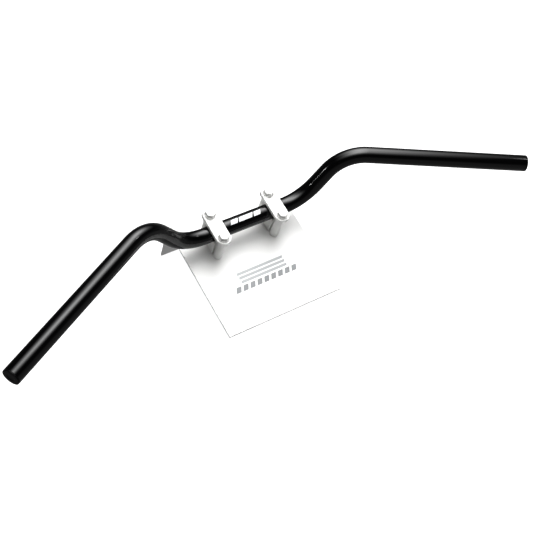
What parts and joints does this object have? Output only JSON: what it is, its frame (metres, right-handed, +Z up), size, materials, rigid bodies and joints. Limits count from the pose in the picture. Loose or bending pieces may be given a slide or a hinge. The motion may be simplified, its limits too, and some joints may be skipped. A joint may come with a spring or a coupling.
{
  "type": "motorcycle handlebar",
  "caption": "Wide low motorcycle handlebar of bent tube, swept back, held by bolted straps on a sloping sheet-metal display stand.",
  "frame": {"origin": "on the table, under the middle of the object's bounding box", "axes": "+X to the rider's right along the bar's straight middle, +Y forward away from the rider, +Z up"},
  "size_m": [0.7576, 0.2306, 0.1558],
  "materials": {
    "bar_paint": "gloss black paint on steel tube",
    "plug_plastic": "moulded black, fine satin",
    "decal_film": "printed film, silver white",
    "clamp_paint": "white powder coat, satin",
    "stand_paint": "white powder coat, satin",
    "badge_film": "printed film, mid grey",
    "fastener_steel": "white painted steel",
    "nylon": "natural nylon"
  },
  "bodies": {
    "stand": {"display_stand": "stand_paint", "stand_badge": "badge_film", "left_clamp_strap": "clamp_paint", "left_clamp_saddle": "clamp_paint", "left_front_bolt": "fastener_steel", "left_front_sleeve": "clamp_paint", "left_front_strap_washer": "fastener_steel", "left_front_plate_washer": "fastener_steel", "left_front_lock_nut": "fastener_steel", "left_rear_bolt": "fastener_steel", "left_rear_sleeve": "clamp_paint", "left_rear_strap_washer": "fastener_steel", "left_rear_plate_washer": "fastener_steel", "left_rear_lock_nut": "fastener_steel", "right_clamp_strap": "clamp_paint", "right_clamp_saddle": "clamp_paint", "right_front_bolt": "fastener_steel", "right_front_sleeve": "clamp_paint", "right_front_strap_washer": "fastener_steel", "right_front_plate_washer": "fastener_steel", "right_front_lock_nut": "fastener_steel", "right_rear_bolt": "fastener_steel", "right_rear_sleeve": "clamp_paint", "right_rear_strap_washer": "fastener_steel", "right_rear_plate_washer": "fastener_steel", "right_rear_lock_nut": "fastener_steel", "lock_nut_inserts": "nylon"},
    "bar": {"handlebar_tube": "bar_paint", "left_end_plug": "plug_plastic", "right_end_plug": "plug_plastic", "centre_decal": "decal_film"}
  },
  "joints": [
    {"name": "bar_roll", "type": "hinge", "parent": "stand", "child": "bar", "pos_m": [0, 0.0319, 0.0824], "axis": [1, 0, 0], "range_deg": [-60, 40]}
  ]
}
